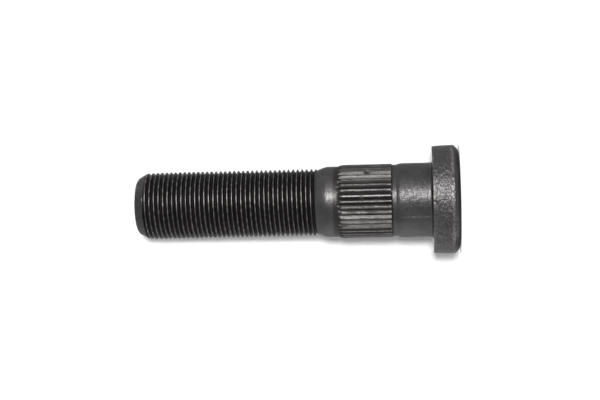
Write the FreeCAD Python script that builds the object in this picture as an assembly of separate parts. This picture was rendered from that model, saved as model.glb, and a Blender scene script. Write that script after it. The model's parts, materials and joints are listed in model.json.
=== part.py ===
import FreeCAD, Part
import math
import os

# Press-in wheel bolt, forged and turned in one piece, standing on its head.
# Frame: origin at the centre of the head's end face, +Z along the axis towards the threaded tip, millimetres.

# Head: a round disc whose side bulges a little and whose end edge is a crowned chamfer
HEAD_DIAMETER = 35.4
HEAD_HEIGHT = 8.8
HEAD_SIDE_DRAFT = 0.3
HEAD_SIDE_BULGE = 0.1
HEAD_CHAMFER_HEIGHT = 1.9
HEAD_CHAMFER_WIDTH = 2.6
HEAD_CHAMFER_CROWN = 0.22
HEAD_RIM_RADIUS = 0.3

# Plain shank under the head, and the relief between it and the splines
SHANK_DIAMETER = 24.2
SHANK_LENGTH = 10.2
UNDERHEAD_FILLET = 0.8
RELIEF_DIAMETER = 23.4
RELIEF_RAMP_LENGTH = 1.3
RELIEF_LENGTH = 1.3

# Splines that bite into the hub: straight V grooves pressed into the neck all round
SPLINE_COUNT = 40
SPLINE_TIP_DIAMETER = 24.0
SPLINE_DEPTH = 0.58
SPLINE_GROOVE_ANGLE = 96.0
SPLINE_LENGTH = 16.0
SPLINE_LEAD_LENGTH = 2.9
SPLINE_END_CHAMFER = 0.25

# Smooth collar and the rounded shoulder that leads down to the thread
COLLAR_DIAMETER = 23.1
COLLAR_LENGTH = 2.4
SHOULDER_LENGTH = 3.7
SHOULDER_CROWN = 0.3

# M22 x 1.5 thread: a plain cylinder at its major diameter, with its run-out groove and tip chamfer
THREAD_MAJOR_DIAMETER = 21.9
THREAD_PITCH = 1.5
THREAD_LENGTH = 55.0
TIP_CHAMFER_LENGTH = 3.4
TIP_FACE_DIAMETER = 18.2

# Depth of a rolled 60 degree thread's pitch line below its crests, as a share of the pitch
PITCH_LINE_SHARE = 0.325

# Heights of the sections, one after another from the head's end face
bearing_z = HEAD_HEIGHT
shank_end_z = bearing_z + SHANK_LENGTH
relief_z = shank_end_z + RELIEF_RAMP_LENGTH
spline_z = relief_z + RELIEF_LENGTH
spline_full_z = spline_z + SPLINE_LENGTH
spline_end_z = spline_full_z + SPLINE_LEAD_LENGTH
collar_end_z = spline_end_z + COLLAR_LENGTH
shoulder_end_z = collar_end_z + SHOULDER_LENGTH
runout_depth = PITCH_LINE_SHARE * THREAD_PITCH
thread_z = shoulder_end_z + runout_depth
thread_end_z = thread_z + THREAD_LENGTH
tip_z = thread_end_z + TIP_CHAMFER_LENGTH

# Radii of the same sections
head_r = HEAD_DIAMETER / 2
bearing_r = head_r - HEAD_SIDE_DRAFT
shank_r = SHANK_DIAMETER / 2
relief_r = RELIEF_DIAMETER / 2
spline_tip_r = SPLINE_TIP_DIAMETER / 2
spline_root_r = spline_tip_r - SPLINE_DEPTH
collar_r = COLLAR_DIAMETER / 2
thread_r = THREAD_MAJOR_DIAMETER / 2
blank_r = thread_r - runout_depth
tip_r = TIP_FACE_DIAMETER / 2


def at(radius, height):
    """Point of the half section, in the XZ plane."""
    return FreeCAD.Vector(radius, 0, height)


def line(start, end):
    return Part.LineSegment(start, end).toShape()


def crowned(start, end, crown):
    """Arc from start to end whose middle stands out by crown to the right of the direction of travel."""
    run = end - start
    outward = FreeCAD.Vector(run.z, 0, -run.x)
    outward.normalize()
    middle = (start + end) * 0.5 + outward * crown
    return Part.Arc(start, middle, end).toShape()


def half_section():
    """Closed half section of the bolt, from the axis round the outside and back."""
    end_edge = at(head_r - HEAD_CHAMFER_WIDTH, 0)
    chamfer_edge = at(head_r, HEAD_CHAMFER_HEIGHT)
    rim_start = at(bearing_r, bearing_z - HEAD_RIM_RADIUS)
    rim_end = at(bearing_r - HEAD_RIM_RADIUS, bearing_z)
    quarter = math.sqrt(0.5)
    rim_middle = at(
        bearing_r - HEAD_RIM_RADIUS * (1 - quarter),
        bearing_z - HEAD_RIM_RADIUS * (1 - quarter),
    )
    fillet_start = at(shank_r + UNDERHEAD_FILLET, bearing_z)
    fillet_end = at(shank_r, bearing_z + UNDERHEAD_FILLET)
    fillet_middle = at(
        shank_r + UNDERHEAD_FILLET * (1 - quarter),
        bearing_z + UNDERHEAD_FILLET * (1 - quarter),
    )
    shank_end = at(shank_r, shank_end_z)
    relief_start = at(relief_r, relief_z)
    relief_end = at(relief_r, spline_z)
    spline_start = at(spline_tip_r, spline_z + SPLINE_END_CHAMFER)
    spline_full = at(spline_tip_r, spline_full_z)
    collar_start = at(collar_r, spline_end_z)
    collar_end = at(collar_r, collar_end_z)
    runout = at(blank_r, shoulder_end_z)
    thread_start = at(thread_r, thread_z)
    thread_end = at(thread_r, thread_end_z)
    tip = at(tip_r, tip_z)
    edges = [
        line(at(0, 0), end_edge),
        crowned(end_edge, chamfer_edge, HEAD_CHAMFER_CROWN),
        crowned(chamfer_edge, rim_start, HEAD_SIDE_BULGE),
        Part.Arc(rim_start, rim_middle, rim_end).toShape(),
        line(rim_end, fillet_start),
        Part.Arc(fillet_start, fillet_middle, fillet_end).toShape(),
        line(fillet_end, shank_end),
        line(shank_end, relief_start),
        line(relief_start, relief_end),
        line(relief_end, spline_start),
        line(spline_start, spline_full),
        line(spline_full, collar_start),
        line(collar_start, collar_end),
        crowned(collar_end, runout, SHOULDER_CROWN),
        line(runout, thread_start),
        line(thread_start, thread_end),
        line(thread_end, tip),
        line(tip, at(0, tip_z)),
        line(at(0, tip_z), at(0, 0)),
    ]
    return Part.Face(Part.Wire(edges))


def spline_groove():
    """One V groove of the splines: a triangular bar that stands out past the tips."""
    half_angle = math.radians(SPLINE_GROOVE_ANGLE / 2)
    outer_r = spline_tip_r + SPLINE_DEPTH
    half_width = (outer_r - spline_root_r) * math.tan(half_angle)
    corners = [
        FreeCAD.Vector(spline_root_r, 0, spline_z),
        FreeCAD.Vector(outer_r, half_width, spline_z),
        FreeCAD.Vector(outer_r, -half_width, spline_z),
    ]
    triangle = Part.Face(Part.makePolygon(corners + corners[:1]))
    return triangle.extrude(FreeCAD.Vector(0, 0, spline_end_z - spline_z))


def wheel_bolt():
    """The whole bolt: the turned form with the splines cut into its neck."""
    axis_point = FreeCAD.Vector(0, 0, 0)
    axis = FreeCAD.Vector(0, 0, 1)
    turned = half_section().revolve(axis_point, axis, 360)
    groove = spline_groove()
    cutters = []
    for number in range(SPLINE_COUNT):
        cutter = groove.copy()
        cutter.rotate(axis_point, axis, number * 360 / SPLINE_COUNT)
        cutters.append(cutter)
    return turned.cut(cutters)


bolt = wheel_bolt()
print("length", round(tip_z, 3), "valid", bolt.isValid(), "solids", len(bolt.Solids), "faces", len(bolt.Faces))
print("volume", round(bolt.Volume, 1), "mm3")
os.makedirs("parts", exist_ok=True)
bolt.Solids[0].exportStep("parts/wheel_bolt.step")
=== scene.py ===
# %% [markdown]
# # A press-in wheel bolt
# The bolt is forged, turned and rolled from one bar of steel, so it is one piece here too. The packed
# model gives its frame: the origin is at the centre of the head's end face, and +Z runs up the axis to
# the threaded tip. Its thread is a plain cylinder there. This lesson works out the whole skin again as
# one closed mesh, with the thread, the uneven splines and the forged head, and then gives it its dark
# phosphated finish.

# %% Load the frame
import json
import math

import bmesh
import bpy
import numpy as np
from mathutils import Matrix, Vector


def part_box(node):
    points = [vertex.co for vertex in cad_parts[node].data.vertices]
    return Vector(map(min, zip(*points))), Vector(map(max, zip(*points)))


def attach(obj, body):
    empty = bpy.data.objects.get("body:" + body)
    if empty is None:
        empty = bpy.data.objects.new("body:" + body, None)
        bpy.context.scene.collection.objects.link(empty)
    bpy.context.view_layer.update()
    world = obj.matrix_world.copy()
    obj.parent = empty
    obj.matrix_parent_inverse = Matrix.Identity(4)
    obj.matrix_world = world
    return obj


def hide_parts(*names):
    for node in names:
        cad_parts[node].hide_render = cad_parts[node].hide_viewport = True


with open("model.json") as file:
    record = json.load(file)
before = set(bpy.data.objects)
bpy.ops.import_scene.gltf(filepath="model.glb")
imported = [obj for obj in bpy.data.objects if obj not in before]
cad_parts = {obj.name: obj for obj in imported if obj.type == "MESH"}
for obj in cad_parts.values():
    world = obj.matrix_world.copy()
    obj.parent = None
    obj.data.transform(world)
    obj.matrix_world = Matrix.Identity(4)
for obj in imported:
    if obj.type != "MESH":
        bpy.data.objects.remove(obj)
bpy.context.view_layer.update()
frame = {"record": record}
MM = 0.001

# %% [markdown]
# ## Sizes
# The solid's box and its mounts give the sizes that other parts depend on. The rest are read off the
# bolt, section by section, from the head upwards. A length is in metres, written as millimetres times MM.
# A name that ends in _R is a radius, and one that ends in _Z is a height above the head's end face.

# %% Sizes from the frame
node_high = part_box("wheel_bolt")[1]
mounts = {mount["name"]: mount for mount in frame["record"]["mounts"]}
HEAD_R = node_high.x
TIP_Z = node_high.z
BEARING_Z = mounts["under_head"]["pos_m"][2]
SHANK_R = mounts["shank"]["dims"]["r_mm"] * MM
THREAD_R = mounts["thread"]["dims"]["r_mm"] * MM
for section, section_r in (("head", HEAD_R), ("shank", SHANK_R), ("thread", THREAD_R)):
    print(section, "diameter in mm", round(2 * section_r / MM, 2))

# %% Sizes of the sections, from the head upwards
HEAD_CHAMFER_HEIGHT = 1.9 * MM
HEAD_CHAMFER_WIDTH = 2.6 * MM
HEAD_CHAMFER_CROWN = 0.3 * MM
HEAD_SIDE_DRAFT = 0.3 * MM
HEAD_SIDE_CROWN = 0.075 * MM
HEAD_RIM_RADIUS = 0.3 * MM
UNDERHEAD_FILLET = 0.8 * MM
SHANK_LENGTH = 10.2 * MM
RELIEF_RAMP_LENGTH = 1.3 * MM
RELIEF_RAMP_CROWN = 0.04 * MM
RELIEF_LENGTH = 1.3 * MM
RELIEF_R = 11.7 * MM
SPLINE_COUNT = 40
SPLINE_END_CHAMFER = 0.4 * MM
SPLINE_LENGTH = 16.0 * MM
SPLINE_LEAD_LENGTH = 2.9 * MM
SPLINE_TIP_R = 12.0 * MM
SPLINE_ROOT_R = 11.42 * MM
LEAD_SETBACK = 1.15 * MM
LEAD_CROWN = 0.04 * MM
COLLAR_LENGTH = 2.4 * MM
COLLAR_R = 11.55 * MM
SHOULDER_LENGTH = 3.2 * MM
PITCH = 1.5 * MM
PITCH_LINE_SHARE = 0.325
BLANK_R = THREAD_R - PITCH_LINE_SHARE * PITCH
TIP_CHAMFER_LENGTH = 3.4 * MM
TIP_R = 9.1 * MM
print("thread's blank in mm", round(2 * BLANK_R / MM, 2))

# %% Heights of the sections, one after another
SHANK_END_Z = BEARING_Z + SHANK_LENGTH
RELIEF_Z = SHANK_END_Z + RELIEF_RAMP_LENGTH
SPLINE_Z = RELIEF_Z + RELIEF_LENGTH
SPLINE_FULL_Z = SPLINE_Z + SPLINE_LENGTH
SPLINE_END_Z = SPLINE_FULL_Z + SPLINE_LEAD_LENGTH
LEAD_Z = SPLINE_END_Z - LEAD_SETBACK
COLLAR_END_Z = SPLINE_END_Z + COLLAR_LENGTH
SHOULDER_END_Z = COLLAR_END_Z + SHOULDER_LENGTH
print("thread turns", round((TIP_Z - SHOULDER_END_Z) / PITCH, 1))

# %% [markdown]
# ## Helpers
# A real forging is never quite smooth. `smooth` eases from one value to another, `band` is a soft stripe,
# and `ripple` is a gentle uneven field over the bolt's skin. A random number at every point would look
# like sand, so the field is a sum of cosines, each with a whole number of waves round the bolt, so that
# it closes on itself. Its numbers come from a seeded generator, so that every run gives the same bolt.

# %% Easing and unevenness
TURN = 2 * math.pi


def smooth(low, high, value):
    """Eased step: 0 below low, 1 above high, and 3 t squared - 2 t cubed at a share t between them."""
    share = np.clip((value - low) / (high - low), 0.0, 1.0)
    return share * share * (3.0 - 2.0 * share)


def band(value, middle, width):
    """Soft stripe: e to the minus square of the distance from middle, counted in widths."""
    return np.exp(-(((value - middle) / width) ** 2))


def ripple(angle, height, seed, wavelength, waves=24):
    """Uneven field, mostly within -1 to 1: a sum of cosines of random direction and about one length."""
    draw = np.random.default_rng(seed)
    most_turns = TURN * SHANK_R / wavelength
    total = np.zeros(np.broadcast(angle, height).shape)
    for _ in range(waves):
        direction = draw.uniform(0, TURN)
        turns = round(most_turns * math.cos(direction))
        along = TURN / wavelength * math.sin(direction)
        total += np.cos(turns * angle + along * height + draw.uniform(0, TURN))
    return total * math.sqrt(2.0 / waves) / 2.0


def around(radius, angle, height):
    """Points of a surface round the axis: x = r cos a, y = r sin a, z = height, as one long array."""
    radius, angle, height = np.broadcast_arrays(radius, angle, height)
    return np.stack([radius * np.cos(angle), radius * np.sin(angle), height], axis=-1).reshape(-1, 3)


print("halfway up an eased step", smooth(0.0, 1.0, 0.5))

# %% [markdown]
# ## The thread
# A thread is a V groove that climbs one pitch in each turn. It could be a screw modifier on a small
# profile, but then its run-out and its chamfered start would have to be patched. Here the grid's rows
# climb with the helix, so each crest, flank and root lies exactly on a row, and eight rows a pitch are
# enough. A row that leaves the bolt at either end is pressed flat against that end, and those doubles are
# merged later.

# %% Thread profile
CREST_HALF = 1 / 16
FLANK_END = 6 / 16
CREST_ROUNDING = 0.008 * MM
FLANK_DEPTH = (FLANK_END - CREST_HALF) * PITCH * math.sqrt(3)
ROOT_ROUNDING = 0.1 * MM


def thread_drop(phase):
    """Depth below the crest line at a phase of 0 on one crest and 1 on the next.

    A nearly flat crest of an eighth of a pitch, two flanks at 60 degrees to each other, and a rounded root.
    """
    off_crest = np.abs((phase + 0.5) % 1.0 - 0.5)
    crest = CREST_ROUNDING * np.minimum(off_crest / CREST_HALF, 1.0) ** 2
    flank = np.clip((off_crest - CREST_HALF) / (FLANK_END - CREST_HALF), 0.0, 1.0) * FLANK_DEPTH
    to_root = np.clip((0.5 - off_crest) / (0.5 - FLANK_END), 0.0, 1.0)
    return crest + flank + ROOT_ROUNDING * (1.0 - to_root**2)


print("thread depth in mm", round(float(thread_drop(0.5)) / MM, 3))

# %% Where the thread begins and ends
SHOULDER_CONE_SHARE = 0.62
TIP_EDGE_ROUNDING = 0.35 * MM
TIP_EDGE_LENGTH = 0.5 * MM


def shoulder_radius(height):
    """Radius of the shoulder: part cone, part parabola, falling ever faster from collar to blank."""
    share = np.clip((height - COLLAR_END_Z) / (SHOULDER_END_Z - COLLAR_END_Z), 0.0, 1.0)
    fall = SHOULDER_CONE_SHARE * share + (1.0 - SHOULDER_CONE_SHARE) * share**2
    return COLLAR_R - (COLLAR_R - BLANK_R) * fall


def tip_cone(height):
    """Radius of the tip's chamfer: a straight cone up to the tip face, with its last edge rounded over."""
    below_tip = TIP_Z - height
    slope = (THREAD_R - TIP_R) / TIP_CHAMFER_LENGTH
    rounding = TIP_EDGE_ROUNDING * np.clip(1.0 - below_tip / TIP_EDGE_LENGTH, 0.0, 1.0) ** 2
    return TIP_R + below_tip * slope - rounding


print("tip face in mm", round(2 * float(tip_cone(TIP_Z)) / MM, 2))

# %% Rows and columns of the thread
THREAD_COLUMNS = 160
THREAD_PHASES = np.array([0.0, 0.0625, 0.2, 0.375, 0.5, 0.625, 0.8, 0.9375])
THREAD_SINK = 0.5 * MM
THREAD_START_Z = SHOULDER_END_Z - THREAD_SINK
THREAD_TURNED = 0.686
SPARE_TURNS = 2


def thread_layout():
    """Phase of each row, angle of each column and height of each point: a row climbs a pitch in a turn.

    Two spare turns start below the grid's lower end, so that every column has rows to press flat there.
    """
    turns = math.ceil((TIP_Z - THREAD_START_Z) / PITCH) + SPARE_TURNS
    phase = np.tile(THREAD_PHASES, turns)[:, None]
    turn = np.repeat(np.arange(turns), len(THREAD_PHASES))[:, None]
    angle = TURN * np.arange(THREAD_COLUMNS) / THREAD_COLUMNS
    climb = turn + phase - SPARE_TURNS + THREAD_TURNED + angle / TURN
    return phase, angle, np.clip(THREAD_START_Z + PITCH * climb, THREAD_START_Z, TIP_Z)


print("thread starts at mm", round(THREAD_START_Z / MM, 2))

# %% Wear of the thread
PATCH_SIZE = 2.4 * MM
TIP_PATCH_SIZE = 4.0 * MM
UNWORN_TURNS = 2.5
TIP_RUB_BELOW = 0.6 * MM
TIP_RUB_WIDTH = 0.5 * MM


def crest_wear(angle, height):
    """Patchy rubbing of the crests: less of it on the turns next to the shoulder."""
    patches = np.clip(0.55 + 0.8 * ripple(angle, height, 12, PATCH_SIZE), 0.1, 1.0)
    return smooth(SHOULDER_END_Z, SHOULDER_END_Z + UNWORN_TURNS * PITCH, height) * patches


def tip_wear(angle, height):
    """A rubbed ring just below the tip face, broken into patches."""
    patches = np.clip(1.2 * ripple(angle, height, 13, TIP_PATCH_SIZE) - 0.2, 0.0, 1.0)
    return band(height, TIP_Z - TIP_RUB_BELOW, TIP_RUB_WIDTH) * patches


print("rubbed ring at mm", round((TIP_Z - TIP_RUB_BELOW) / MM, 1))

# %% Thread grid
RUNOUT_BELOW = 0.4 * MM
RUNOUT_TURNS = 0.6
ROLLED_DOWN = 0.16 * MM
ROLLED_FROM = 8.0 * MM
ROLLED_TO = 2.0 * MM
CUT_FROM = 3.5 * MM
CUT_TO = 2.7 * MM
BRUISE_DEPTH = 0.035 * MM
BRUISE_LEVEL = 0.35
CREST_REACH = 0.3 * MM
# Painted shade in the thread's grooves: how deep in the groove it is full, and how strong it gets.
PAINTED_SHADE_REACH = 0.5 * MM
THREAD_PAINTED_SHADE = 0.5


def thread_grid():
    """Points of the thread, the number of its rows, how far each point is rubbed, and how much shade is
    painted on it in its grooves.

    The thread rises out of the shoulder over its run-out, its first turns at the tip are rolled down a
    little, and bruises lower its crests. The skin is the lower of that and of the tip's cone.
    """
    phase, angle, height = thread_layout()
    drop = thread_drop(phase)
    crest = np.clip(1.0 - drop / CREST_REACH, 0.0, 1.0)
    runout = smooth(SHOULDER_END_Z - RUNOUT_BELOW, SHOULDER_END_Z + RUNOUT_TURNS * PITCH, height)
    rolled = ROLLED_DOWN * smooth(TIP_Z - ROLLED_FROM, TIP_Z - ROLLED_TO, height)
    cut = 1.0 - smooth(TIP_Z - CUT_FROM, TIP_Z - CUT_TO, height)
    bruise = BRUISE_DEPTH * np.clip(ripple(angle, height, 11, PATCH_SIZE) - BRUISE_LEVEL, 0.0, None)
    full = THREAD_R - rolled - cut * drop - bruise * crest
    threaded = shoulder_radius(height) + runout * (full - BLANK_R)
    cone = tip_cone(height)
    wear_and_reflection = crest * crest_wear(angle, height) * (threaded < cone)
    wear_and_reflection = np.maximum(wear_and_reflection, tip_wear(angle, height))
    # Painted shade: the colour is darkened by how deep a point lies in the thread's groove.
    painted_groove_shade = THREAD_PAINTED_SHADE * cut * runout * np.clip(drop / PAINTED_SHADE_REACH, 0.0, 1.0)
    points = around(np.minimum(threaded, cone), angle, height)
    return points, len(phase), wear_and_reflection.reshape(-1), painted_groove_shade.reshape(-1)


thread_points, thread_rows, thread_wear, thread_painted_shade = thread_grid()
print("thread grid", thread_rows, "rows of", THREAD_COLUMNS)

# %% [markdown]
# ## The neck, shank and head
# Below the shoulder the bolt is a turned profile carried round the axis. The profile is a list of short
# runs, each from one formula: straight where the bolt is straight, a quarter circle at a fillet. The
# splines could be cut with forty wedges and a Boolean modifier, which leaves ragged triangles. Here a
# minimum cuts them: the skin is the lower of the plain neck and of V grooves that repeat round the bolt.
# Eight columns to a tooth, crowded where the grooves turn, keep their edges crisp.

# %% Runs of a profile
def run(start, end, count):
    """Straight run of points (radius, height) from start to end, without its last point."""
    share = np.linspace(0.0, 1.0, count, endpoint=False)[:, None]
    return np.array(start) * (1.0 - share) + np.array(end) * share


def crowned_run(start, end, crown, count):
    """As run, with the middle pushed out by crown: a parabola 4 t (1 - t) times the outward direction."""
    share = np.linspace(0.0, 1.0, count, endpoint=False)[:, None]
    along = np.array(end) - np.array(start)
    along = along / np.linalg.norm(along)
    outward = np.array([-along[1], along[0]])
    return run(start, end, count) + outward * crown * 4.0 * share * (1.0 - share)


def quarter(centre, radius, first, last, count=6):
    """Quarter circle in the section, from the angle first to last in degrees, without its last point."""
    turn = np.radians(np.linspace(first, last, count, endpoint=False))
    return np.stack([centre[0] + radius * np.cos(turn), centre[1] + radius * np.sin(turn)], axis=-1)


print("points in a fillet", len(quarter((0.0, 0.0), UNDERHEAD_FILLET, 180, 270)))

# %% Profile below the shoulder
FINE_TOP_Z = 33.0 * MM
FINE_LOW_Z = 28.5 * MM
END_FACE_INNER_R = 1.0 * MM


def body_profile():
    """The section from the shoulder down to the head's end face, as points (radius, height).

    The rows lie closer from FINE_TOP_Z to FINE_LOW_Z, where two nicks cross the splines.
    """
    shoulder = np.linspace(THREAD_START_Z, COLLAR_END_Z, 9, endpoint=False)
    lead = (COLLAR_R, LEAD_Z)
    spline_full = (SPLINE_TIP_R, SPLINE_FULL_Z)
    fine_top = (SPLINE_TIP_R, FINE_TOP_Z)
    fine_low = (SPLINE_TIP_R, FINE_LOW_Z)
    spline_start = (SPLINE_TIP_R, SPLINE_Z + SPLINE_END_CHAMFER)
    relief_end = (RELIEF_R, SPLINE_Z)
    relief = (RELIEF_R, RELIEF_Z)
    shank_end = (SHANK_R, SHANK_END_Z)
    fillet_centre = (SHANK_R + UNDERHEAD_FILLET, BEARING_Z + UNDERHEAD_FILLET)
    bearing_r = HEAD_R - HEAD_SIDE_DRAFT
    rim_centre = (bearing_r - HEAD_RIM_RADIUS, BEARING_Z - HEAD_RIM_RADIUS)
    chamfer_top = (HEAD_R, HEAD_CHAMFER_HEIGHT)
    end_edge = (HEAD_R - HEAD_CHAMFER_WIDTH, 0.0)
    return np.concatenate([
        np.stack([shoulder_radius(shoulder), shoulder], axis=-1),
        run((COLLAR_R, COLLAR_END_Z), lead, 5),
        crowned_run(lead, spline_full, LEAD_CROWN, 12),
        run(spline_full, fine_top, 5),
        run(fine_top, fine_low, 18),
        run(fine_low, spline_start, 7),
        run(spline_start, relief_end, 5),
        run(relief_end, relief, 4),
        crowned_run(relief, shank_end, RELIEF_RAMP_CROWN, 6),
        run(shank_end, (SHANK_R, fillet_centre[1]), 9),
        quarter(fillet_centre, UNDERHEAD_FILLET, 180, 270),
        run((fillet_centre[0], BEARING_Z), (rim_centre[0], BEARING_Z), 6),
        quarter(rim_centre, HEAD_RIM_RADIUS, 90, 0),
        crowned_run((bearing_r, rim_centre[1]), chamfer_top, HEAD_SIDE_CROWN, 12),
        crowned_run(chamfer_top, end_edge, HEAD_CHAMFER_CROWN, 10),
        run(end_edge, (END_FACE_INNER_R, 0.0), 4),
    ])


profile = body_profile()
row_r, row_z = profile[:, :1], profile[:, 1:]
print("profile rows", len(profile), "lowest", round(row_z.min() / MM, 3))

# %% Splines
TOOTH_COLUMNS = np.array([0.0, 0.045, 0.35, 0.415, 0.5, 0.585, 0.65, 0.955])
BODY_COLUMNS = SPLINE_COUNT * len(TOOTH_COLUMNS)
GROOVE_HALF_ANGLE = math.radians(52.5)
TOOTH_SPREAD = 0.03
GROOVE_DEPTH_SPREAD = 0.05 * MM
GROOVE_WANDER = 0.03 * MM
GROOVE_WANDER_LENGTH = 6.0 * MM
GROOVE_RISE = 1.2 * MM
HEAD_END_FROM = 0.05 * MM
HEAD_END_TO = 0.45 * MM
COLLAR_END_FROM = 1.5 * MM
COLLAR_END_TO = 0.8 * MM


def column_angles(draw):
    """Angles of the body's columns, tooth by tooth, with each tooth set a little off its even place."""
    tooth = np.repeat(np.arange(SPLINE_COUNT), len(TOOTH_COLUMNS))
    uneven = np.repeat(draw.normal(0.0, TOOTH_SPREAD, SPLINE_COUNT), len(TOOTH_COLUMNS))
    return (tooth + np.tile(TOOTH_COLUMNS, SPLINE_COUNT) + uneven) * TURN / SPLINE_COUNT


def spline_surface(angle, draw):
    """Lower of the plain neck and of V grooves, whose floors rise to the neck's skin at both ends."""
    share = np.tile(TOOTH_COLUMNS, SPLINE_COUNT)
    off_groove = np.minimum(share, 1.0 - share) * TURN / SPLINE_COUNT * SPLINE_TIP_R
    depth_change = np.repeat(draw.normal(0.0, GROOVE_DEPTH_SPREAD, SPLINE_COUNT), len(TOOTH_COLUMNS))
    wander = GROOVE_WANDER * ripple(angle, row_z, 21, GROOVE_WANDER_LENGTH)
    groove = SPLINE_ROOT_R + depth_change + wander + off_groove / math.tan(GROOVE_HALF_ANGLE)
    head_end = 1.0 - smooth(SPLINE_Z + HEAD_END_FROM, SPLINE_Z + HEAD_END_TO, row_z)
    collar_end = smooth(SPLINE_END_Z - COLLAR_END_FROM, SPLINE_END_Z - COLLAR_END_TO, row_z)
    return np.minimum(row_r, groove + (head_end + collar_end) * GROOVE_RISE)


tooth_draw = np.random.default_rng(5)
body_angle = column_angles(tooth_draw)
in_splines = (row_z >= SPLINE_Z) & (row_z <= SPLINE_END_Z)
neck_r = np.where(in_splines, spline_surface(body_angle, tooth_draw), row_r)
print("rows in the splines", int(in_splines.sum()), "of", len(profile))

# %% Which rows lie on the head, shank and collar
# Each share is 1 on its section and eases to 0 over the short length that its line gives
on_head = 1.0 - smooth(BEARING_Z, BEARING_Z + 0.3 * MM, row_z)
on_side = on_head * smooth(HEAD_R - 3.0 * MM, HEAD_R - 1.5 * MM, row_r)
on_chamfer = 1.0 - smooth(HEAD_CHAMFER_HEIGHT - 0.3 * MM, HEAD_CHAMFER_HEIGHT + 0.2 * MM, row_z)
above_head = smooth(BEARING_Z + 0.5 * MM, BEARING_Z + 1.5 * MM, row_z)
on_shank = above_head * (1.0 - smooth(SHANK_END_Z - 0.6 * MM, SHANK_END_Z, row_z))
on_collar = smooth(LEAD_Z, LEAD_Z + 0.4 * MM, row_z)
on_collar = on_collar * (1.0 - smooth(COLLAR_END_Z, SHOULDER_END_Z - 0.6 * MM, row_z))
for section, share in (("head", on_head), ("shank", on_shank), ("collar", on_collar)):
    print("rows mostly on the", section, int((share > 0.5).sum()))

# %% Small marks on the side that the camera sees
NEAR_ANGLE = math.radians(-94)


def turned_from_near(degrees):
    """Angle of each column, the shorter way round, from the one at these degrees from the near side."""
    return (body_angle - NEAR_ANGLE - math.radians(degrees) + math.pi) % TURN - math.pi


def mark(degrees, height, across, along):
    """Round mark that is 1 at its middle and fades out over across, round the bolt, and along the axis."""
    return band(turned_from_near(degrees) * SHANK_R, 0.0, across) * band(row_z, height, along)


near_nick = mark(degrees=6, height=31.4 * MM, across=0.55 * MM, along=0.45 * MM)
high_nick = mark(degrees=54, height=29.6 * MM, across=0.8 * MM, along=0.6 * MM)
drawn_line = mark(degrees=-27, height=13.5 * MM, across=0.2 * MM, along=4.0 * MM)
print("points in the near nick", int((near_nick > 0.5).sum()))

# %% Skin of the body
DENT_DEPTH = 0.03 * MM
DENT_SIZE = 7.0 * MM
PIT_DEPTH = 0.05 * MM
PIT_SIZE = 2.2 * MM
PIT_LEVEL = 0.2
UNEVEN_DEPTH = 0.012 * MM
UNEVEN_SIZE = 4.0 * MM
NEAR_NICK_DEPTH = 0.16 * MM
HIGH_NICK_DEPTH = 0.35 * MM
DRAWN_LINE_DEPTH = 0.05 * MM


def body_skin():
    """Radius of every point: the neck less forged dents and pits, a faint unevenness and the marks."""
    dents = np.clip(0.5 + 0.5 * ripple(body_angle, row_z, 31, DENT_SIZE), 0.0, 1.0)
    pits = np.clip(ripple(body_angle, row_z, 32, PIT_SIZE) - PIT_LEVEL, 0.0, None)
    uneven = np.abs(ripple(body_angle, row_z, 33, UNEVEN_SIZE))
    radius = neck_r - on_side * (DENT_DEPTH * dents + PIT_DEPTH * pits)
    radius = radius - above_head * UNEVEN_DEPTH * uneven
    radius = radius - NEAR_NICK_DEPTH * near_nick - HIGH_NICK_DEPTH * high_nick
    return radius - DRAWN_LINE_DEPTH * drawn_line


body_r = body_skin()
body_points = around(body_r, body_angle, row_z)
print("body grid", len(profile), "rows of", BODY_COLUMNS)

# %% Wear, painted reflection, forging and painted groove shade of the body
TIP_WEAR = 0.55
TIP_WEAR_DEPTH = 0.08 * MM
END_RIM_WEAR = 1.4
END_RIM_ABOVE = 0.5 * MM
END_RIM_SPREAD = 0.42 * MM
BEARING_RIM_WEAR = 0.5
BEARING_RIM_BELOW = 0.35 * MM
BEARING_RIM_SPREAD = 0.3 * MM
# Painted reflection: the next three set a lighter patch on one side of the head's chamfer, which stands in
# for a reflection and is not wear.
LOW_CHAMFER_REFLECTION = 1.3
LOW_CHAMFER_DEGREES = -65
LOW_CHAMFER_SPREAD = math.radians(40)
RIM_PATCH_SIZE = 9.0 * MM
LINE_WEAR = 0.8
NICK_WEAR = 0.9
CHAMFER_FORGING = 0.4
SHANK_FORGING = 0.3
COLLAR_FORGING = 0.16


def body_wear_and_reflection():
    """How far each point is rubbed, plus a painted reflection on the lower side of the head's chamfer: the
    sum of what its tips, edges and marks give it, at most 1.

    The splines' tips, the drawn line and the near nick are rubbed evenly, and the head's edges and the
    painted reflection in patches.
    """
    tips = TIP_WEAR * in_splines * smooth(SPLINE_TIP_R - TIP_WEAR_DEPTH, SPLINE_TIP_R, body_r)
    end_rim = END_RIM_WEAR * band(row_z, HEAD_CHAMFER_HEIGHT + END_RIM_ABOVE, END_RIM_SPREAD)
    bearing_rim = BEARING_RIM_WEAR * band(row_z, BEARING_Z - BEARING_RIM_BELOW, BEARING_RIM_SPREAD)
    # Painted reflection: the side of the chamfer 65 degrees round from the near side is made lighter, as a
    # reflection of white surroundings would make it.
    low_side = band(turned_from_near(LOW_CHAMFER_DEGREES), 0.0, LOW_CHAMFER_SPREAD)
    chamfer_reflection = LOW_CHAMFER_REFLECTION * on_chamfer * low_side
    patches = np.clip(0.7 + 0.9 * ripple(body_angle, row_z, 34, RIM_PATCH_SIZE), 0.2, 1.0)
    rims_and_reflection = on_side * (end_rim + bearing_rim + chamfer_reflection) * patches
    return np.clip(tips + LINE_WEAR * drawn_line + rims_and_reflection + NICK_WEAR * near_nick, 0.0, 1.0)


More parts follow.
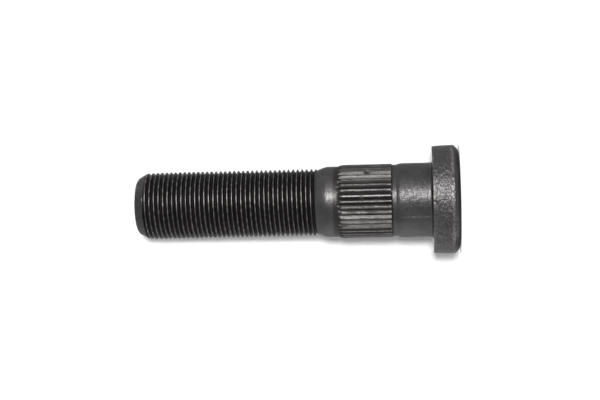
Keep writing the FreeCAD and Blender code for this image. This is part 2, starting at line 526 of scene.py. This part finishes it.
def body_forging():
    """How far each point keeps its forged skin: 1 on the head, less on its chamfer, shank and collar."""
    head = on_head * (1.0 - (1.0 - CHAMFER_FORGING) * on_chamfer)
    return np.broadcast_to(head + SHANK_FORGING * on_shank + COLLAR_FORGING * on_collar, body_r.shape)


def body_painted_shade():
    """Painted shade in the spline grooves, by how deep each point lies: 0 near the tips and 1 well down the
    flank.
    """
    groove_share = (SPLINE_TIP_R - body_r) / (SPLINE_TIP_R - SPLINE_ROOT_R)
    return in_splines * np.clip(2.0 * groove_share - 0.2, 0.0, 1.0)


print("mean wear of the body", round(float(body_wear_and_reflection().mean()), 3))

# %% [markdown]
# ## One closed skin
# The two grids could stay two objects pushed into each other, but the bolt is one piece, so they are
# joined into one mesh. The thread's seam is the unusual one: a row that has gone once round has climbed a
# pitch, so its end meets the row eight further up. The body has twice as many columns as the thread, so
# at the shoulder each thread quad meets two body quads by way of three triangles. The head's end is
# closed with a fan of triangles to one point on the axis. So is the tip, inside a narrow flat ring that
# keeps the edge's shading off its face.

# %% Faces of the two grids
def thread_faces():
    """Quads of the thread grid, whose last column meets the first one a pitch further up."""
    row = np.arange(thread_rows - 1)[:, None]
    column = np.arange(THREAD_COLUMNS)[None, :]
    wraps = column == THREAD_COLUMNS - 1
    next_column = np.where(wraps, 0, column + 1)
    lift = np.where(wraps, len(THREAD_PHASES), 0)
    low = np.minimum(row + lift, thread_rows - 1)
    high = np.minimum(row + 1 + lift, thread_rows - 1)
    corners = [
        row * THREAD_COLUMNS + column,
        low * THREAD_COLUMNS + next_column,
        high * THREAD_COLUMNS + next_column,
        (row + 1) * THREAD_COLUMNS + column,
    ]
    return np.stack(np.broadcast_arrays(*corners), axis=-1).reshape(-1, 4)


def body_faces(first):
    """Quads of the body grid, whose rows go down, so that the faces still look outwards."""
    row = np.arange(len(profile) - 1)[:, None]
    column = np.arange(BODY_COLUMNS)[None, :]
    next_column = (column + 1) % BODY_COLUMNS
    corners = [
        row * BODY_COLUMNS + next_column,
        row * BODY_COLUMNS + column,
        (row + 1) * BODY_COLUMNS + column,
        (row + 1) * BODY_COLUMNS + next_column,
    ]
    return first + np.stack(np.broadcast_arrays(*corners), axis=-1).reshape(-1, 4)


print("quads of thread and body", len(thread_faces()), len(body_faces(0)))

# %% Faces that join and close them
def shoulder_faces(first):
    """Three triangles for each thread column, between the thread's lowest ring and the body's highest."""
    upper = np.arange(THREAD_COLUMNS)
    upper_next = (upper + 1) % THREAD_COLUMNS
    lower = first + 2 * upper
    middle = lower + 1
    lower_next = first + (2 * upper + 2) % BODY_COLUMNS
    fans = [(upper, lower, middle), (upper, middle, upper_next), (upper_next, middle, lower_next)]
    return np.concatenate([np.stack(fan, axis=-1) for fan in fans])


def ring_faces(outer, inner):
    """Quads between two rings of as many points."""
    return np.stack([outer, np.roll(outer, -1), np.roll(inner, -1), inner], axis=-1)


def fan_faces(ring, pole):
    """Triangles from each edge of a ring to one point on the axis."""
    return np.stack([ring, np.roll(ring, -1), np.full(len(ring), pole)], axis=-1)


print("triangles at the shoulder", len(shoulder_faces(0)))

# %% Build the mesh
TIP_RING_SHARE = 0.96


def bolt_mesh():
    """All points and faces in one mesh, with its wear and painted reflection, its forging and its painted
    groove shade kept as attributes.
    """
    first = len(thread_points)
    tip_ring = np.arange(THREAD_COLUMNS) + (thread_rows - 1) * THREAD_COLUMNS
    end_ring = first + (len(profile) - 1) * BODY_COLUMNS + np.arange(BODY_COLUMNS)
    inner_ring = first + len(body_points) + np.arange(THREAD_COLUMNS)
    tip_pole = first + len(body_points) + THREAD_COLUMNS
    end_pole = tip_pole + 1
    inner_points = thread_points[tip_ring] * [TIP_RING_SHARE, TIP_RING_SHARE, 1.0]
    poles = [[0.0, 0.0, TIP_Z], [0.0, 0.0, 0.0]]
    points = np.concatenate([thread_points, body_points, inner_points, poles])
    groups = [
        thread_faces(),
        body_faces(first),
        shoulder_faces(first),
        ring_faces(tip_ring, inner_ring),
        fan_faces(inner_ring, tip_pole),
        fan_faces(end_ring[::-1], end_pole),
    ]
    mesh = bpy.data.meshes.new("threaded_wheel_bolt")
    mesh.from_pydata(points.tolist(), [], [face for group in groups for face in group.tolist()])
    plain_tip = np.zeros(THREAD_COLUMNS + 1)
    # The first attribute holds wear and a painted reflection on the head's chamfer; the third is shade
    # painted into the grooves.
    marks = {
        "wear_and_reflection": [thread_wear, body_wear_and_reflection().reshape(-1), plain_tip, [0.0]],
        "forged": [np.zeros(first), body_forging().reshape(-1), plain_tip, [1.0]],
        "painted_groove_shade": [thread_painted_shade, body_painted_shade().reshape(-1), plain_tip, [0.0]],
    }
    for name, values in marks.items():
        kept = mesh.attributes.new(name, "FLOAT", "POINT")
        kept.data.foreach_set("value", np.concatenate(values).astype(np.float32))
    return mesh


bolt = bpy.data.objects.new("threaded_wheel_bolt", bolt_mesh())
print("points before doubles are merged", len(bolt.data.vertices))

# %% Close and shade it, and give it its place in the frame
MERGE_DISTANCE = 0.002 * MM
FLAT_DISTANCE = 0.001 * MM
SHARP_ANGLE = math.radians(20)


def close_and_shade(mesh):
    """Merges the doubles at the ends, drops faces with no area, and keeps edges over SHARP_ANGLE crisp."""
    work = bmesh.new()
    work.from_mesh(mesh)
    bmesh.ops.remove_doubles(work, verts=work.verts, dist=MERGE_DISTANCE)
    bmesh.ops.dissolve_degenerate(work, edges=work.edges, dist=FLAT_DISTANCE)
    bmesh.ops.recalc_face_normals(work, faces=work.faces)
    open_edges = sum(1 for edge in work.edges if len(edge.link_faces) != 2)
    volume = work.calc_volume(signed=True)
    triangles = sum(len(face.verts) - 2 for face in work.faces)
    work.to_mesh(mesh)
    work.free()
    mesh.shade_smooth()
    mesh.set_sharp_from_angle(angle=SHARP_ANGLE)
    print("triangles", triangles, "open edges", open_edges, "volume in cm3", round(volume * 1e6, 2))


close_and_shade(bolt.data)
bpy.context.scene.collection.objects.link(bolt)
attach(bolt, "root")
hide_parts("wheel_bolt")

# %% [markdown]
# ## The finish
# Phosphate turns steel into a dark grey, fine crystalline skin, and oil makes it nearly black with a soft
# gloss. A painted texture would need the bolt unwrapped, so the finish is worked out from the place of
# each point instead. It is a very dark metal with a broad highlight. Fine noise breaks the highlight up
# and slow noise makes patches. The mesh's own attributes say where it is rubbed lighter, as on the
# thread's crests and the splines' tips, where a reflection is painted lighter on the lower side of the
# head's chamfer, where shade is painted darker down in the grooves, and where the forged skin is left,
# on the head.

# %% Nodes for a finish
def node(tree, kind, **values):
    """New node with its properties or inputs set by name."""
    made = tree.nodes.new(kind)
    for name, value in values.items():
        if hasattr(made, name):
            setattr(made, name, value)
        else:
            made.inputs[name.replace("_", " ")].default_value = value
    return made


def feed(tree, value, socket):
    """Gives a socket its value: a link from another socket, or a plain number or colour."""
    if isinstance(value, bpy.types.NodeSocket):
        tree.links.new(value, socket)
    else:
        socket.default_value = value


def worked_out(tree, operation, *values):
    """Result of a Math node on two or three sockets or numbers."""
    step = node(tree, "ShaderNodeMath", operation=operation)
    for socket, value in zip(step.inputs, values):
        feed(tree, value, socket)
    return step.outputs["Value"]


def mapped(tree, value, low, high, new_low, new_high):
    """Straight line from new_low at the value low to new_high at the value high, and level outside."""
    step = node(tree, "ShaderNodeMapRange", From_Min=low, From_Max=high, To_Min=new_low, To_Max=new_high)
    tree.links.new(value, step.inputs["Value"])
    return step.outputs["Result"]


def mixed(tree, share, first, second):
    """Colour that is first where share is 0 and second where it is 1."""
    mix = node(tree, "ShaderNodeMix", data_type="RGBA")
    tree.links.new(share, mix.inputs["Factor"])
    colours = [socket for socket in mix.inputs if socket.type == "RGBA"]
    feed(tree, first, colours[0])
    feed(tree, second, colours[1])
    return [socket for socket in mix.outputs if socket.type == "RGBA"][0]


def bumped(tree, height, strength, distance, below=None):
    """Normal of a bump, which lies on the bump below if there is one."""
    made = node(tree, "ShaderNodeBump", Strength=strength, Distance=distance)
    tree.links.new(height, made.inputs["Height"])
    if below is not None:
        tree.links.new(below, made.inputs["Normal"])
    return made.outputs["Normal"]


print("makers of nodes", [maker.__name__ for maker in (node, feed, worked_out, mapped, mixed, bumped)])

# %% Colour, gloss and grain of the steel
SKIN_DARK = (0.041, 0.0395, 0.040, 1.0)
SKIN_LIGHT = (0.055, 0.053, 0.0535, 1.0)
# Painted shade: the near-black colour that the grooves are darkened towards.
GROOVE_SHADE_COLOUR = (0.012, 0.010, 0.009, 1.0)
# Rubbed steel, also used for the reflection painted on the head's chamfer.
RUBBED_STEEL_AND_REFLECTION = (0.22, 0.21, 0.205, 1.0)
FORGED_SCALE = (0.10, 0.097, 0.095, 1.0)
FORGED_ROUGHNESS = 0.02
SCUFFED_ROUGHNESS = 0.11
CRYSTAL_HEIGHT = 0.02 * MM
SPECK_HEIGHT = 0.1 * MM
FLAKE_HEIGHT = 0.42 * MM


def steel_colour(tree, wear_and_reflection, forged, painted_groove_shade, patches, specks):
    """Patchy dark skin with shade painted darker in the grooves, rubbed lighter in specks and lighter where
    a reflection is painted on the chamfer, with scale on the forged skin.
    """
    skin = mixed(tree, mapped(tree, patches, 0.35, 0.65, 0.0, 1.0), SKIN_DARK, SKIN_LIGHT)
    # Painted shade: the deeper in a groove, the closer to the groove shade colour.
    skin = mixed(tree, mapped(tree, painted_groove_shade, 0.0, 0.5, 0.0, 0.6), skin, GROOVE_SHADE_COLOUR)
    # Lighter where rubbed, and where a reflection is painted on the head's chamfer.
    rubbed_and_reflection = worked_out(tree, "MULTIPLY", wear_and_reflection, mapped(tree, specks, 0.4, 0.62, 0.15, 0.9))
    scaled = worked_out(tree, "MULTIPLY", forged, mapped(tree, specks, 0.5, 0.7, 0.0, 0.8))
    return mixed(tree, scaled, mixed(tree, rubbed_and_reflection, skin, RUBBED_STEEL_AND_REFLECTION), FORGED_SCALE)


def steel_roughness(tree, wear_and_reflection, forged, specks):
    """Speckled gloss, a little rougher on forged skin, and rougher where smooth skin is scuffed."""
    speckled = mapped(tree, specks, 0.3, 0.7, 0.31, 0.43)
    gloss = worked_out(tree, "MULTIPLY_ADD", forged, FORGED_ROUGHNESS, speckled)
    scuffed = worked_out(tree, "MULTIPLY", wear_and_reflection, mapped(tree, forged, 0.0, 1.0, 1.0, 0.0))
    return worked_out(tree, "MULTIPLY_ADD", scuffed, SCUFFED_ROUGHNESS, gloss)


def steel_grain(tree, forged, crystals, specks, flakes):
    """Three bumps, one on the other: crystals, specks, and flakes on forged skin only."""
    grain = bumped(tree, crystals, 0.6, CRYSTAL_HEIGHT)
    speckled = worked_out(tree, "MULTIPLY", mapped(tree, forged, 0.0, 1.0, 0.7, 1.0), specks)
    grain = bumped(tree, speckled, 0.8, SPECK_HEIGHT, grain)
    return bumped(tree, worked_out(tree, "MULTIPLY", forged, flakes), 0.9, FLAKE_HEIGHT, grain)


print("rubbed steel is lighter", round(RUBBED_STEEL_AND_REFLECTION[0] / SKIN_DARK[0], 1), "times")

# %% Phosphated steel
# Waves in a metre and levels of detail of the four noises
PATCHES = (160.0, 4.0)
SPECKS = (1500.0, 5.0)
FLAKES = (820.0, 2.0)
CRYSTALS = (5200.0, 3.0)


def phosphated_steel():
    """Dark phosphated and oiled steel, from noise at each place and from the mesh's attributes."""
    material = bpy.data.materials.new("phosphated_steel")
    material.use_nodes = True
    tree = material.node_tree
    shader = tree.nodes["Principled BSDF"]
    shader.inputs["Metallic"].default_value = 0.9
    shader.inputs["Specular Tint"].default_value = (0.5, 0.5, 0.5, 1.0)
    place = node(tree, "ShaderNodeTexCoord").outputs["Object"]

    def noise(scale, detail):
        texture = node(tree, "ShaderNodeTexNoise", Scale=scale, Detail=detail)
        tree.links.new(place, texture.inputs["Vector"])
        return texture.outputs["Fac"]

    def kept(name):
        return node(tree, "ShaderNodeAttribute", attribute_name=name).outputs["Fac"]

    # The first attribute is wear plus a painted reflection on the chamfer; the third is painted shade in
    # the grooves.
    wear_and_reflection, forged, painted_groove_shade = kept("wear_and_reflection"), kept("forged"), kept("painted_groove_shade")
    patches, specks = noise(*PATCHES), noise(*SPECKS)
    flakes, crystals = noise(*FLAKES), noise(*CRYSTALS)
    feed(tree, steel_colour(tree, wear_and_reflection, forged, painted_groove_shade, patches, specks), shader.inputs["Base Color"])
    feed(tree, steel_roughness(tree, wear_and_reflection, forged, specks), shader.inputs["Roughness"])
    feed(tree, steel_grain(tree, forged, crystals, specks, flakes), shader.inputs["Normal"])
    return material


bolt.data.materials.append(phosphated_steel())
print("finish", bolt.data.materials[0].name)

# %% [markdown]
# ## Floor and card
# The bolt stands on its head on a pale floor, and a white card stands close behind it, where its soft
# shadow falls. A curved sweep is usual in a studio, but its curve would keep it too far from the bolt for
# a close shadow. The card is white towards the bolt and clear from behind, so that the bolt's back can be
# seen as well. It is clear to lamps and to scattered light too, so that it darkens neither the floor nor
# the bolt. Floor and card glow a little where the camera or a reflection looks at them, which makes them
# white with no more light on the bolt.

# %% Pale paint
def any_of(tree, path, first, kinds):
    """1 where the socket first is 1 or the light path is of one of the kinds."""
    for kind in kinds:
        first = worked_out(tree, "MAXIMUM", first, path.outputs[kind])
    return first


def looked_at(tree, path, unseen, seen):
    """The value seen where the camera or a gloss looks, and unseen for light that falls on the bolt."""
    looks = any_of(tree, path, path.outputs["Is Camera Ray"], ("Is Glossy Ray", "Is Transmission Ray"))
    return mapped(tree, looks, 0.0, 1.0, unseen, seen)


def one_sided(tree, path, surface):
    """The surface from its front, and clear from behind, to lamps and to scattered light."""
    back = node(tree, "ShaderNodeNewGeometry").outputs["Backfacing"]
    choice = node(tree, "ShaderNodeMixShader")
    tree.links.new(any_of(tree, path, back, ("Is Shadow Ray", "Is Diffuse Ray")), choice.inputs["Fac"])
    tree.links.new(surface, choice.inputs[1])
    tree.links.new(node(tree, "ShaderNodeBsdfTransparent").outputs["BSDF"], choice.inputs[2])
    return choice.outputs["Shader"]


def pale_finish(name, white, glow, is_card):
    """White paint that glows a little where it is looked at. A card's paint is one-sided."""
    material = bpy.data.materials.new(name)
    material.use_nodes = True
    tree = material.node_tree
    tree.nodes.clear()
    path = node(tree, "ShaderNodeLightPath")
    paint = node(tree, "ShaderNodeBsdfDiffuse", Color=(white, white, white, 1.0))
    light = node(tree, "ShaderNodeEmission", Color=(1.0, 1.0, 1.0, 1.0))
    tree.links.new(looked_at(tree, path, 0.0, glow), light.inputs["Strength"])
    both = node(tree, "ShaderNodeAddShader")
    tree.links.new(paint.outputs["BSDF"], both.inputs[0])
    tree.links.new(light.outputs["Emission"], both.inputs[1])
    surface = both.outputs["Shader"]
    if is_card:
        surface = one_sided(tree, path, surface)
    output = node(tree, "ShaderNodeOutputMaterial")
    tree.links.new(surface, output.inputs["Surface"])
    return material


FLOOR_WHITE = 0.85
FLOOR_GLOW = 0.36
CARD_WHITE = 0.9
CARD_GLOW = 0.03
floor_paint = pale_finish("pale_floor", FLOOR_WHITE, FLOOR_GLOW, False)
card_paint = pale_finish("white_card", CARD_WHITE, CARD_GLOW, True)
print("paints", floor_paint.name, card_paint.name)

# %% Floor
FLOOR_HALF = 4000.0 * MM


def flat_sheet(name, corners, paint):
    """One four-cornered face as a stage object."""
    mesh = bpy.data.meshes.new(name)
    mesh.from_pydata([tuple(c) for c in corners], [], [(0, 1, 2, 3)])
    mesh.materials.append(paint)
    sheet = bpy.data.objects.new(name, mesh)
    bpy.context.scene.collection.objects.link(sheet)
    return sheet


floor_signs = ((-1, -1), (1, -1), (1, 1), (-1, 1))
floor = flat_sheet("floor", [(x * FLOOR_HALF, y * FLOOR_HALF, 0.0) for x, y in floor_signs], floor_paint)
print("floor in m", [round(side, 1) for side in floor.dimensions])

# %% Card behind the bolt, close to the back of the head and of the thread
AXIS = Vector((0.0, 0.0, 1.0))
near = Vector((math.cos(NEAR_ANGLE), math.sin(NEAR_ANGLE), 0.0))
upward = Vector((-near.y, near.x, 0.0))
CARD_HALF = 400.0 * MM
CARD_GAP = 0.3 * MM
CARD_LEAN = (HEAD_R - THREAD_R) / (TIP_Z - TIP_CHAMFER_LENGTH - BEARING_Z)


def card_point(side, height):
    """Point of the card: the head's radius behind the axis at the bearing face, and nearer above it."""
    behind = HEAD_R + CARD_GAP - (height - BEARING_Z) * CARD_LEAN
    return upward * side - near * behind + AXIS * height


card = flat_sheet("white_card", [
    card_point(-CARD_HALF, 0.0),
    card_point(CARD_HALF, 0.0),
    card_point(CARD_HALF, CARD_HALF),
    card_point(-CARD_HALF, CARD_HALF),
], card_paint)
print("card looks towards the camera", round(card.data.polygons[0].normal.dot(near), 3))

# %% [markdown]
# ## Light
# One large lamp could light everything, but a white card needs more light than the dark bolt should get.
# So there are five round lamps and a sun, and light linking ties each of them to the one object that it
# lights. The key lamp, close to the camera, makes the long highlight. A wide lamp on the picture's upper
# side and one on its lower side fill in, one lights the back, and the sun lights the floor. Only the bolt
# blocks the card lamp, so the card gets one soft shadow.

# %% Lamps
LAMP_DISTANCE = 900.0 * MM
middle = Vector((0.0, 0.0, TIP_Z / 2))


def aimed(name, data, place, direction, lit):
    """Lamp at a place that shines in a direction, and by light linking on one object only."""
    made = bpy.data.objects.new(name, data)
    made.location = place
    made.rotation_mode = "QUATERNION"
    made.rotation_quaternion = direction.to_track_quat("-Z", "Y")
    bpy.context.scene.collection.objects.link(made)
    group = bpy.data.collections.new("lit_by_" + name)
    group.objects.link(lit)
    made.light_linking.receiver_collection = group
    return made


def round_lamp(name, lit, degrees, lift, width, watts):
    """Soft round lamp aimed at the bolt's middle.

    It stands degrees round the bolt from the near side, towards the top of the picture if positive, and
    lift higher than the middle.
    """
    data = bpy.data.lights.new(name, "AREA")
    data.shape = "DISK"
    data.size = width
    data.energy = watts
    turn = math.radians(degrees)
    sideways = near * math.cos(turn) + upward * math.sin(turn)
    offset = sideways * LAMP_DISTANCE + AXIS * lift
    return aimed(name, data, middle + offset, -offset, lit)


round_lamp("key_lamp", bolt, degrees=17.5, lift=75.0 * MM, width=120.0 * MM, watts=8.8)
card_lamp = round_lamp("card_lamp", card, degrees=8.1, lift=-38.0 * MM, width=150.0 * MM, watts=8.0)
shadow_casters = bpy.data.collections.new("shadow_on_card")
shadow_casters.objects.link(bolt)
card_lamp.light_linking.blocker_collection = shadow_casters
print("card lamp at mm", [round(c / MM) for c in card_lamp.location])

# %% Sun on the floor, and the lamps that fill in
SUN_STRENGTH = 2.2
SUN_ANGLE = math.radians(25)
SUN_FALL = 1.8

sun = bpy.data.lights.new("floor_sun", "SUN")
sun.energy = SUN_STRENGTH
sun.angle = SUN_ANGLE
aimed("floor_sun", sun, Vector(), -near - AXIS * SUN_FALL, floor)
round_lamp("upper_lamp", bolt, degrees=45, lift=0.0, width=700.0 * MM, watts=2.1)
round_lamp("lower_lamp", bolt, degrees=-112, lift=0.0, width=700.0 * MM, watts=12.0)
round_lamp("back_lamp", bolt, degrees=180, lift=300.0 * MM, width=300.0 * MM, watts=8.0)
print("lamps", [light.name for light in bpy.data.lights])

# %% World and view
ROOM_LIGHT = 0.25
ROOM_WHITE = 1.0

world = bpy.data.worlds.new("soft_room")
bpy.context.scene.world = world
world.use_nodes = True
room_tree = world.node_tree
room = room_tree.nodes["Background"]
room.inputs["Color"].default_value = (1.0, 1.0, 1.0, 1.0)
room_path = node(room_tree, "ShaderNodeLightPath")
room_tree.links.new(looked_at(room_tree, room_path, ROOM_LIGHT, ROOM_WHITE), room.inputs["Strength"])
bpy.context.scene.view_settings.view_transform = "Standard"
print("world", world.name)

# %% [markdown]
# ## The camera
# The camera looks at the bolt from the side, from a little below its middle, so that the thread runs away
# from it. It is rolled over, so that the standing bolt lies across the picture with its thread to the
# left, and the head end a touch higher. A Track To constraint could aim it but not roll it by a set
# angle, so its right, up and back directions are worked out here and put into its matrix.

# %% Camera
PICTURE_WIDTH = 600
PICTURE_SENSOR = 36.0
FOCAL_PIXELS = 1315.0
CAMERA_DISTANCE = 432.0 * MM
CAMERA_CLIP_START = 10.0 * MM
AXIS_TILT = math.radians(5.0)
PICTURE_ROLL = math.radians(1.32)
AIM_Z = 52.1 * MM
AIM_ABOVE_AXIS = 0.85 * MM


def picture_camera():
    """Camera whose right, up and back directions are worked out from the tilt and the roll."""
    forward = -near * math.cos(AXIS_TILT) + AXIS * math.sin(AXIS_TILT)
    level_right = -AXIS * math.cos(AXIS_TILT) - near * math.sin(AXIS_TILT)
    level_up = level_right.cross(forward)
    right = level_right * math.cos(PICTURE_ROLL) - level_up * math.sin(PICTURE_ROLL)
    up = level_right * math.sin(PICTURE_ROLL) + level_up * math.cos(PICTURE_ROLL)
    data = bpy.data.cameras.new("camera")
    data.sensor_width = PICTURE_SENSOR
    data.lens = PICTURE_SENSOR * FOCAL_PIXELS / PICTURE_WIDTH
    data.clip_start = CAMERA_CLIP_START
    made = bpy.data.objects.new("camera", data)
    place = AXIS * AIM_Z - forward * CAMERA_DISTANCE + up * AIM_ABOVE_AXIS
    turn = Matrix((right, up, -forward)).transposed().to_4x4()
    made.matrix_world = Matrix.Translation(place) @ turn
    bpy.context.scene.collection.objects.link(made)
    bpy.context.scene.camera = made
    return made


camera = picture_camera()
print("camera at mm", [round(c / MM, 1) for c in camera.location])
